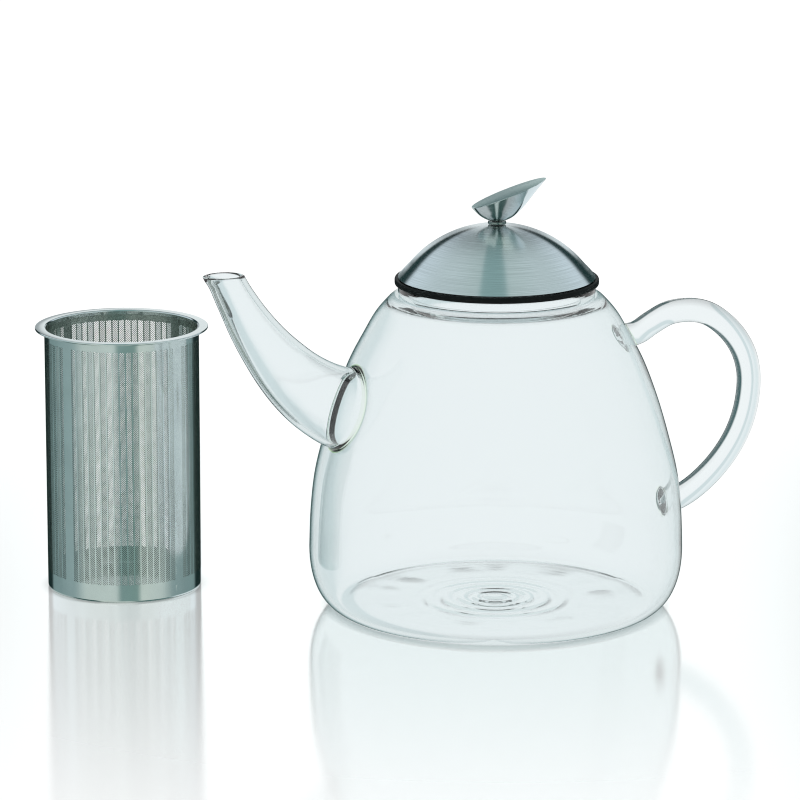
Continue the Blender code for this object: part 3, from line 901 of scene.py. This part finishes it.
# ---------------------------------------------------------------- stage
def studio_world():
    world = bpy.data.worlds.new("studio")
    bpy.context.scene.world = world
    world.use_nodes = True
    tree = world.node_tree
    tree.nodes.clear()
    ray = add(tree, "ShaderNodeLightPath").outputs
    way = add(tree, "ShaderNodeTexCoord").outputs["Generated"]
    tilt = math.radians(13.1)
    viewer = Vector((0.0, 0.0, math.sin(tilt))) - FORWARD * math.cos(tilt)

    def dot(a, b):
        return add(tree, "ShaderNodeVectorMath", {0: a, 1: b}, operation="DOT_PRODUCT").outputs["Value"]

    def turned(vector, ahead):
        """Signed turn about the upright axis, from 0 at half a turn left to 1 at half a turn right."""
        angle = maths(tree, "ARCTAN2", dot(vector, RIGHT), dot(vector, ahead))
        return maths(tree, "ADD", maths(tree, "MULTIPLY", angle, 1 / math.tau), 0.5)

    def signed(stops):
        return [(0.5 + angle / 360, colour) for angle, colour in stops]

    def both(stops):
        return signed([(-angle, colour) for angle, colour in stops[::-1]] + list(stops))

    def mixed(factor, a, b, blend="MIX"):
        made = add(tree, "ShaderNodeMix", {"Factor": factor, 6: a, 7: b}, data_type="RGBA", blend_type=blend)
        return made.outputs[2]

    def stepped(value, low, high):
        made = add(tree, "ShaderNodeMapRange", {"Value": value, "From Min": low, "From Max": high})
        made.interpolation_type = "SMOOTHSTEP"
        return made.outputs[0]

    middle = add(tree, "ShaderNodeVectorMath", {0: way, 1: viewer}, operation="ADD").outputs[0]
    middle = add(tree, "ShaderNodeVectorMath", {0: middle}, operation="NORMALIZE").outputs[0]
    across = turned(middle, -FORWARD)
    rise = add(tree, "ShaderNodeSeparateXYZ", {"Vector": middle}).outputs["Z"]
    height = add(tree, "ShaderNodeSeparateXYZ", {"Vector": way}).outputs["Z"]
    turn = turned(way, FORWARD)

    # Rough metal takes its tone from the direction halfway between its ray and the fixed viewer,
    # with one ramp each for metal that stands upright, faces up and faces down.
    upright = ramp(tree, across, signed((
        (-64.0, (0.24, 0.35, 0.35)),
        (-40.0, (0.34, 0.46, 0.46)),
        (-26.0, (0.66, 0.75, 0.71)),
        (-4.5, (0.70, 0.79, 0.75)),
        (-1.5, (0.25, 0.38, 0.36)),
        (11.8, (0.23, 0.36, 0.33)),
        (13.6, (0.71, 0.79, 0.73)),
        (28.0, (0.68, 0.77, 0.73)),
        (42.0, (0.30, 0.41, 0.41)),
        (66.0, (0.24, 0.35, 0.35)),
    )), "EASE")
    upwards = ramp(tree, across, signed((
        (-84.0, (0.82, 0.90, 0.93)),
        (-80.0, (0.01, 0.035, 0.035)),
        (-71.0, (0.01, 0.035, 0.035)),
        (-65.0, (0.70, 0.80, 0.86)),
        (-34.0, (0.60, 0.70, 0.72)),
        (-11.2, (0.52, 0.63, 0.63)),
        (-9.6, (0.28, 0.43, 0.43)),
        (5.0, (0.28, 0.43, 0.43)),
        (6.8, (0.54, 0.65, 0.65)),
        (34.0, (0.60, 0.70, 0.72)),
        (65.0, (0.70, 0.80, 0.86)),
        (71.0, (0.01, 0.035, 0.035)),
        (80.0, (0.01, 0.035, 0.035)),
        (84.0, (0.82, 0.90, 0.93)),
    )), "EASE")
    top = ramp(tree, rise, ((0.80, 1.0), (0.88, 0.75), (0.93, 0.45), (0.96, 0.50)))
    upwards = mixed(1.0, upwards, top, "MULTIPLY")
    edge_on = stepped(maths(tree, "ABSOLUTE", maths(tree, "SUBTRACT", across, 0.5)), 68 / 360, 72 / 360)
    edge_on = maths(tree, "MULTIPLY", edge_on, stepped(maths(tree, "MULTIPLY", rise, -1.0), -0.78, -0.68))
    upwards = mixed(edge_on, upwards, (0.01, 0.035, 0.035, 1.0))
    upwards = mixed(stepped(rise, 0.976, 0.990), upwards, (0.90, 0.95, 0.96, 1.0))
    downwards = ramp(tree, across, signed((
        (-60.0, (0.50, 0.58, 0.57)),
        (-44.0, (0.42, 0.50, 0.49)),
        (-38.0, (0.05, 0.11, 0.10)),
        (-22.0, (0.06, 0.12, 0.11)),
        (-16.0, (0.62, 0.68, 0.62)),
        (4.0, (0.60, 0.66, 0.62)),
        (12.0, (0.10, 0.18, 0.17)),
        (34.0, (0.16, 0.26, 0.25)),
        (44.0, (0.85, 0.92, 0.95)),
    )), "EASE")
    aside = maths(tree, "MULTIPLY", maths(tree, "ABSOLUTE", maths(tree, "SUBTRACT", turn, 0.5)), 2.0)
    shade = (0.03, 0.065, 0.063)
    above = ramp(tree, aside, ((17 / 180, 1.0), (24 / 180, shade), (42 / 180, shade), (49 / 180, 1.0)))
    below = ramp(tree, aside, ((42 / 180, shade), (49 / 180, 1.0)))
    sides = mixed(stepped(height, -0.06, 0.06), below, above)
    upright = mixed(1.0, upright, sides, "MULTIPLY")
    room = mixed(stepped(rise, 0.12, 0.40), upright, upwards)
    room = mixed(stepped(maths(tree, "MULTIPLY", rise, -1.0), 0.12, 0.30), room, downwards)
    twice = ramp(tree, turn, signed((
        (-180.0, (0.80, 0.86, 0.82)),
        (-168.0, (0.80, 0.86, 0.82)),
        (-164.0, (0.07, 0.13, 0.12)),
        (-125.0, (0.10, 0.17, 0.16)),
        (-115.0, 0.75),
        (-44.0, 0.75),
        (-36.0, (0.07, 0.13, 0.12)),
        (-7.0, (0.07, 0.13, 0.12)),
        (-4.0, (0.80, 0.86, 0.82)),
        (9.0, (0.80, 0.86, 0.82)),
        (13.0, (0.07, 0.13, 0.12)),
        (36.0, (0.10, 0.17, 0.16)),
        (46.0, (0.80, 0.88, 0.92)),
        (130.0, 0.60),
        (138.0, (0.07, 0.13, 0.12)),
        (171.0, (0.07, 0.13, 0.12)),
        (175.0, (0.80, 0.86, 0.82)),
    )))
    again = maths(tree, "SUBTRACT", ray["Glossy Depth"], ray["Is Glossy Ray"], True)
    thrice = maths(tree, "SUBTRACT", ray["Glossy Depth"], ray["Is Glossy Ray"])
    thrice = maths(tree, "SUBTRACT", thrice, 1.0, True)
    again = maths(tree, "MAXIMUM", maths(tree, "MULTIPLY", again, stepped(height, 0.26, 0.36)), thrice)
    room = mixed(again, room, twice)  # metal seen in metal

    # What glass lets through: bright, with a dark flag to the right and a slightly dimmer left.
    soft = ramp(tree, turn, signed((
        (-130.0, 0.98),
        (-60.0, 0.92),
        (-26.0, (0.72, 0.81, 0.83)),
        (-14.0, (0.80, 0.87, 0.89)),
        (-11.0, (0.62, 0.72, 0.74)),
        (-6.0, (0.62, 0.72, 0.74)),
        (-3.2, (0.88, 0.92, 0.935)),
        (24.0, (0.90, 0.94, 0.95)),
        (34.0, (0.03, 0.09, 0.095)),
        (92.0, (0.03, 0.09, 0.095)),
        (104.0, 0.80),
        (126.0, 0.98),
    )), "EASE")
    lower = ramp(tree, maths(tree, "ABSOLUTE", height), ((0.0, 1.0), (0.40, 1.0), (0.75, 0.72), (1.0, 0.55)))
    soft = mixed(1.0, soft, lower, "MULTIPLY")
    mirrored = maths(tree, "MULTIPLY", ray["Glossy Depth"], ray["Transmission Depth"])
    mirrored = maths(tree, "MINIMUM", mirrored, 1.0)
    soft = mixed(mirrored, soft, (0.72, 0.79, 0.80, 1.0))

    # What glass mirrors: bright, with a narrow dark flag just outside the picture on either side.
    sheen = ramp(tree, turn, signed((
        (-180.0, 0.95),
        (-28.0, 0.92),
        (-22.0, (0.50, 0.57, 0.58)),
        (-15.0, (0.05, 0.09, 0.09)),
        (-6.0, (0.04, 0.08, 0.08)),
        (-5.4, 1.06),
        (5.4, 1.06),
        (6.0, (0.06, 0.10, 0.10)),
        (12.0, (0.10, 0.15, 0.15)),
        (18.0, 0.65),
        (28.0, 0.95),
    )))

    seen = mixed(ray["Is Singular Ray"], room, sheen)
    seen = mixed(ray["Is Transmission Ray"], seen, soft)
    plain = maths(tree, "MAXIMUM", ray["Is Camera Ray"], ray["Is Diffuse Ray"])
    seen = mixed(plain, seen, (1.0, 1.0, 1.0, 1.0))
    background = add(tree, "ShaderNodeBackground", {"Color": seen, "Strength": 1.0})
    tree.links.new(background.outputs[0], add(tree, "ShaderNodeOutputWorld").inputs["Surface"])


def floor_material():
    made = bpy.data.materials.new("pale_floor")
    made.use_nodes = True
    tree = made.node_tree
    tree.nodes.clear()
    ray = add(tree, "ShaderNodeLightPath").outputs
    place = add(tree, "ShaderNodeTexCoord").outputs["Object"]
    away = add(tree, "ShaderNodeVectorMath", {0: place}, operation="LENGTH").outputs["Value"]
    near = ramp(tree, away, ((0.08, 0.60), (0.18, 0.46), (0.28, 0.27), (0.38, 0.12), (0.55, 0.0)), "B_SPLINE")
    grazing = add(tree, "ShaderNodeFresnel", {"IOR": 1.5}).outputs[0]
    share = maths(tree, "MULTIPLY", near, maths(tree, "MULTIPLY", grazing, 4.2), True)
    grain = add(tree, "ShaderNodeTexNoise", {"Vector": place, "Scale": 2500.0, "Detail": 2.0}).outputs["Fac"]
    frost = bump(tree, grain, 0.30, 0.00004)
    tint = (0.94, 1.0, 1.0, 1.0)
    mirror = add(tree, "ShaderNodeBsdfGlossy", {"Color": tint, "Roughness": 0.0, "Normal": frost})
    # Painted contact shadow: ambient occlusion within 4 mm dims the glowing floor beside the pot and the
    # strainer.
    painted_contact_shadow = add(tree, "ShaderNodeAmbientOcclusion", {"Distance": 0.004}, samples=4).outputs["AO"]
    strength = ranged(tree, painted_contact_shadow, 0.20, 0.95)
    glow = add(tree, "ShaderNodeEmission", {"Color": (1.0, 1.0, 1.0, 1.0), "Strength": strength})
    matt = add(tree, "ShaderNodeBsdfDiffuse", {"Color": (0.14, 0.14, 0.14, 1.0)})
    plain = add(tree, "ShaderNodeAddShader", {0: glow.outputs[0], 1: matt.outputs[0]}).outputs[0]
    lit = add(tree, "ShaderNodeMixShader", {0: share, 1: plain, 2: mirror.outputs[0]}).outputs[0]
    bounced = maths(tree, "MAXIMUM", ray["Is Glossy Ray"], ray["Is Transmission Ray"])
    clear = add(tree, "ShaderNodeBsdfTransparent")
    surface = add(tree, "ShaderNodeMixShader", {0: bounced, 1: lit, 2: clear.outputs[0]}).outputs[0]
    tree.links.new(surface, add(tree, "ShaderNodeOutputMaterial").inputs["Surface"])
    return made


def build_stage():
    scene = bpy.context.scene
    mesh = bpy.data.meshes.new("floor")
    corners = ((-1, -1), (1, -1), (1, 1), (-1, 1))
    verts = [(x * FLOOR_HALF, y * FLOOR_HALF, FLOOR_DROP) for x, y in corners]
    mesh.from_pydata(verts, [], [(0, 1, 2, 3)])
    floor = bpy.data.objects.new("floor", mesh)
    scene.collection.objects.link(floor)
    mesh.materials.append(floor_material())
    studio_world()
    camera = bpy.data.cameras.new("camera")
    camera.lens = LENS
    camera.sensor_width = 36.0
    camera.clip_end = 100.0
    eye = bpy.data.objects.new("camera", camera)
    scene.collection.objects.link(eye)
    eye.location = EYE
    eye.rotation_euler = (math.pi / 2 - VIEW_DOWN, 0.0, VIEW_AZIMUTH)
    scene.camera = eye
    scene.view_settings.view_transform = "Standard"
    scene.cycles.max_bounces = 24
    scene.cycles.transmission_bounces = 24
    scene.cycles.glossy_bounces = 8
    scene.cycles.transparent_max_bounces = 16
    scene.cycles.blur_glossy = 0.0
    scene.cycles.use_denoising = True
    scene.cycles.filter_width = 1.1


build_pot()
build_lid()
build_strainer()
build_stage()
